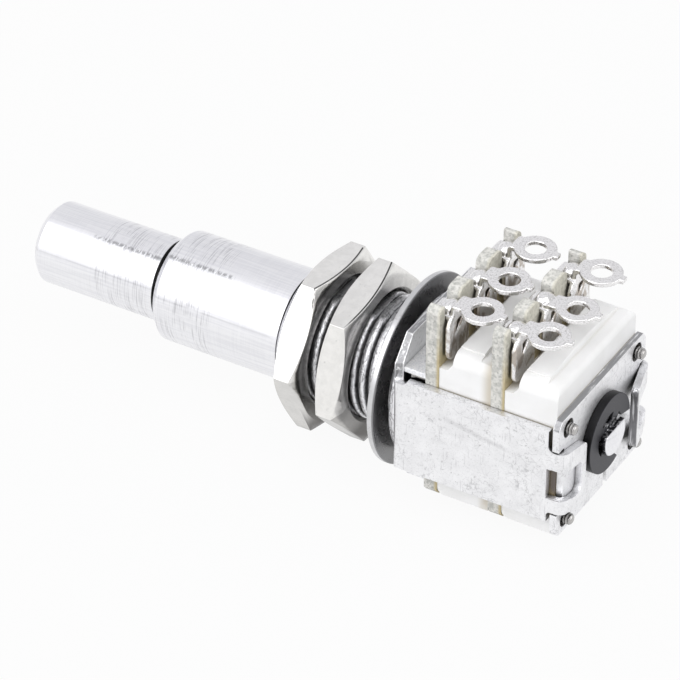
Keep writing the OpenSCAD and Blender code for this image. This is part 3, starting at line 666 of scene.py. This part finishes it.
# %% Mouldings and bronze
def moulded(name, low, high, rough, stain):
    """Moulding whose colour drifts between low and high. The stain colour is also painted as shade
    into its gaps.
    """
    f = Finish(name)
    x, y, z = f.axes()
    cloud = f.noise(f.where(), scale=0.5, detail=3)
    grain = f.noise(f.where(shift=(3, 3, 1)), scale=10, detail=2)
    tint = f.mix(f.rise(cloud, 0.35, 0.65), low, high)
    flux = f.rise(x, 6.1, 7.0) * (1 - f.rise(x, 7.1, 7.2)) * f.rise(cloud, 0.35, 0.55)
    # Painted shade: dark brown on the rear housing where the frame's windows show it.
    window_shade = f.rise(x, 10.6, 10.8) * f.band(z, -3.4, 2.4, 0.2) * f.rise(abs(y), 5, 5.2)
    tint = f.mix(flux * 0.6, tint, stain)
    tint = f.mix(window_shade * 0.95, tint, (0.09, 0.065, 0.05))
    # Painted shade in the gaps, in the stain's colour.
    tint = f.shaded_in_gaps(tint, stain, 0.6, 0.1, 0.7)
    return f.done(Base_Color=tint, Roughness=rough + grain * 0.1,
                  Normal=f.bump(grain * 0.3 + cloud, 0.01))


def wiper_bronze():
    f = Finish("wiper_bronze")
    rolled = f.noise(f.where((1, 8, 1)), scale=1, detail=3)
    tint = f.mix(rolled, (0.66, 0.42, 0.20), (0.78, 0.56, 0.32))
    return f.done(Base_Color=tint, Metallic=1.0, Roughness=0.28 + rolled * 0.1,
                  Normal=f.bump(rolled, 0.004))


housing_nylon = moulded("housing_nylon", (0.85, 0.85, 0.84), (0.89, 0.89, 0.885), 0.38,
                        stain=(0.42, 0.34, 0.20))
rotor_phenolic = moulded("rotor_phenolic", (0.16, 0.085, 0.05), (0.24, 0.13, 0.08), 0.45,
                         stain=(0.05, 0.03, 0.02))
wiper_metal = wiper_bronze()
print("made", housing_nylon.name, rotor_phenolic.name, wiper_metal.name)

# %% [markdown]
# The thread is M9 by 0.75. A row of rings would be simpler, but has no slope and no end, and both
# show here. So one ridge is spun round the axis while it moves along by one pitch for each turn,
# over a plain core. It starts a turn early, ends late, and is then cut off at both ends, which
# leaves no blunt start. It is cut flat along its top, as the bush in the photograph is, and its
# first turn is turned down to the chamfer at the end of the bush.

# %% Threaded bush
PITCH, STEPS = 0.75, 60
BUSH_END, COLLAR, SPIGOT_END = -10.3, -0.5, 2.15
BORE, SPIGOT, COLLAR_RIM = 3.25, 4.0, 5.8
ROOT, CORE, BUSH_FLAT, SHOULDER, CREST = 4.1, 4.13, 4.2, 4.42, 4.49


def cut_away(mesh, point, outwards):
    """Cuts a bmesh by a plane, drops what lies outwards of it and closes the cut."""
    cut = bmesh.ops.bisect_plane(mesh, geom=mesh.verts[:] + mesh.edges[:] + mesh.faces[:],
                                 dist=1e-8, plane_co=Vector(point) * MM, plane_no=outwards,
                                 clear_outer=True)
    rim = [e for e in cut["geom_cut"] if isinstance(e, bmesh.types.BMEdge)]
    bmesh.ops.holes_fill(mesh, edges=[e for e in rim if e.is_boundary], sides=0)


def thread_ridge():
    """One long helical ridge, deeper at its root than the core it sits on."""
    mesh = bmesh.new()
    turns = (COLLAR - BUSH_END) / PITCH + 3
    start = BUSH_END - PITCH
    outline(mesh, [(start - 0.34, ROOT), (start - 0.21, SHOULDER), (start - 0.14, CREST),
                   (start + 0.14, CREST), (start + 0.21, SHOULDER), (start + 0.34, ROOT)],
            closed=True)
    bmesh.ops.spin(mesh, geom=mesh.verts[:] + mesh.edges[:], cent=(0, 0, 0), axis=(1, 0, 0),
                   dvec=(PITCH / STEPS * MM, 0, 0), angle=math.tau * turns,
                   steps=int(STEPS * turns), use_merge=False)
    for vert in mesh.verts:
        radius = math.hypot(vert.co.y, vert.co.z) / MM
        chamfer = max(ROOT, CREST - 0.35 + vert.co.x / MM - BUSH_END)
        if radius > chamfer:
            vert.co.yz = vert.co.yz * chamfer / radius
    cut_away(mesh, (BUSH_END, 0, 0), (-1, 0, 0))
    cut_away(mesh, (COLLAR, 0, 0), (1, 0, 0))
    cut_away(mesh, (0, 0, BUSH_FLAT), (0, 0, 1))
    bmesh.ops.recalc_face_normals(mesh, faces=mesh.faces)
    return mesh


def joined(first, second):
    """Adds the second bmesh to the first."""
    data = bpy.data.meshes.new("part")
    second.to_mesh(data)
    second.free()
    first.from_mesh(data)
    bpy.data.meshes.remove(data)
    return first


bush_core = turned([(BUSH_END, BORE), (BUSH_END, CORE), (COLLAR, CORE), (COLLAR, COLLAR_RIM),
                    (0, COLLAR_RIM), (0, SPIGOT), (SPIGOT_END, SPIGOT), (SPIGOT_END, BORE)], 0.05)
finished("bush_thread", joined(bush_core, thread_ridge()), "case", bush_metal, "bush")

# %% [markdown]
# The lugs look as if they had been dipped: no edge on them is sharp, and tin has filled every
# inner corner, most of all at the neck, where a bead of solder sits. A voxel remesh gives that
# skin, because it forgets the edges and melts the bead into the lug, and a few rounds of
# smoothing let the surface settle. It works in millimetres, since its voxels have a least size.

# %% Dipped lugs
LUG_PITCH, NECK_Z = 3.85, 8.93


def dipped(mesh, voxel, rounds):
    """Melts a bmesh into one smooth skin. The voxel is in millimetres."""
    bmesh.ops.scale(mesh, vec=(1 / MM,) * 3, verts=mesh.verts)
    data = bpy.data.meshes.new("bath")
    mesh.to_mesh(data)
    bath = add_object("bath", data)
    bath.modifiers.new("skin", "REMESH").voxel_size = voxel
    settle = bath.modifiers.new("settle", "SMOOTH")
    settle.factor, settle.iterations = 0.5, rounds
    mesh.clear()
    mesh.from_object(bath, bpy.context.evaluated_depsgraph_get())
    bmesh.ops.scale(mesh, vec=(MM,) * 3, verts=mesh.verts)
    bpy.data.objects.remove(bath)
    bpy.data.meshes.remove(data)
    return mesh


def solder_bead(mesh, x, y, z):
    """A bead of tin in the corner between the saddle and the neck of a lug."""
    bmesh.ops.create_icosphere(mesh, subdivisions=3, radius=MM, matrix=(
        Matrix.Translation(Vector((x, y, z)) * MM) @ Matrix.Diagonal((0.68, 0.78, 0.58, 1))))
    return mesh


for side, face in zip(("front", "rear"), BOARD_FACES):
    for place in (1, 2, 3):
        node = f"{side}_lug_{place}"
        lug = solder_bead(cad_copy(node), face - 0.12, (place - 2) * LUG_PITCH, NECK_Z)
        skin = dipped(lug, voxel=0.06, rounds=5)
        finished(node + "_dipped", skin, "case", lug_metal, node)

# %% [markdown]
# The sheet metal, the mouldings and the boards already have the right form in the CAD model, so
# each is copied and only its sharp edges are rounded, by about as much as the real edge. The two
# front bends of the frame were struck sharper outside than inside, so they are drawn out first.

# %% Stamped, cast and moulded pieces
HALF_FRAME = 6.1


def strike_bends(mesh, old, new):
    """Draws the outer face of the two front bends out to a smaller radius."""
    for vert in mesh.verts:
        x, y = vert.co.x / MM, abs(vert.co.y) / MM
        off = Vector((x - old, y - (HALF_FRAME - old)))
        if x < old and y > HALF_FRAME - old and off.length > old - 0.1:
            off = off.normalized() * new
            vert.co.x = (new + off.x) * MM
            vert.co.y = math.copysign((HALF_FRAME - new + off.y) * MM, vert.co.y)
    return mesh


struck = strike_bends(cad_copy("frame"), old=0.7, new=0.3)
finished("frame_dressed", soften(struck, 0.08), "case", frame_metal, "frame")
softened("rear_plate", 0.07, "case", plate_metal)
softened("base_block", 0.06, "case", block_metal)
for side in ("front", "rear"):
    softened(side + "_board", 0.14, "case", board_fibre, 3)
    softened(side + "_housing", 0.2, "case", housing_nylon, 3)
    softened(side + "_nut", 0.08, side + "_nut", nut_metal)
softened("retaining_ring", 0.05, "inner_control", ring_metal)
softened("washer", 0.1, "case", washer_metal, 3)
softened("inner_shaft", 0.05, "inner_control", inner_metal)
softened("outer_shaft", 0.05, "outer_control", outer_metal)

# %% [markdown]
# Each post ends behind the rear plate in a round head with two grooves, left by the tool that
# set it. The CAD post is a plain pin, so a rounded copy would have no grooves. A new lathe form is
# spun on the shaft axis, as the others are, and then moved to its corner.

# %% Corner posts
POST_R, GROOVE_R = 0.42, 0.30
POST_PLACES = [(-4.85, 3.4), (4.85, 3.4), (-4.85, -4), (4.85, -4)]


def post(number, y, z):
    """One post: a pin with two grooves near its rear end and a domed tip."""
    mesh = turned([(0.92, 0), (0.92, POST_R), (12.5, POST_R), (12.54, GROOVE_R),
                   (12.6, GROOVE_R), (12.64, POST_R), (12.76, POST_R), (12.79, GROOVE_R),
                   (12.85, GROOVE_R), (12.89, POST_R - 0.02), (12.99, POST_R - 0.08),
                   (13.06, POST_R - 0.2), (13.07, 0)], steps=32)
    bmesh.ops.translate(mesh, vec=Vector((0, y, z)) * MM, verts=mesh.verts)
    finished(f"post_{number}_set", mesh, "case", post_metal, f"post_{number}")


for number, (y, z) in enumerate(POST_PLACES, 1):
    post(number, y, z)

# %% [markdown]
# The rotors and wipers are closed in, and a rounded copy of them would only cost faces. They keep
# their CAD solids, with finishes of their own for whoever opens the model up.

# %% Inner parts keep their solids
inner_parts = {"front_rotor": rotor_phenolic, "rear_rotor": rotor_phenolic,
               "front_wiper": wiper_metal, "rear_wiper": wiper_metal}
for name, material in inner_parts.items():
    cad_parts[name].data.materials.clear()
    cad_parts[name].data.materials.append(material)
print("finished", ", ".join(inner_parts))
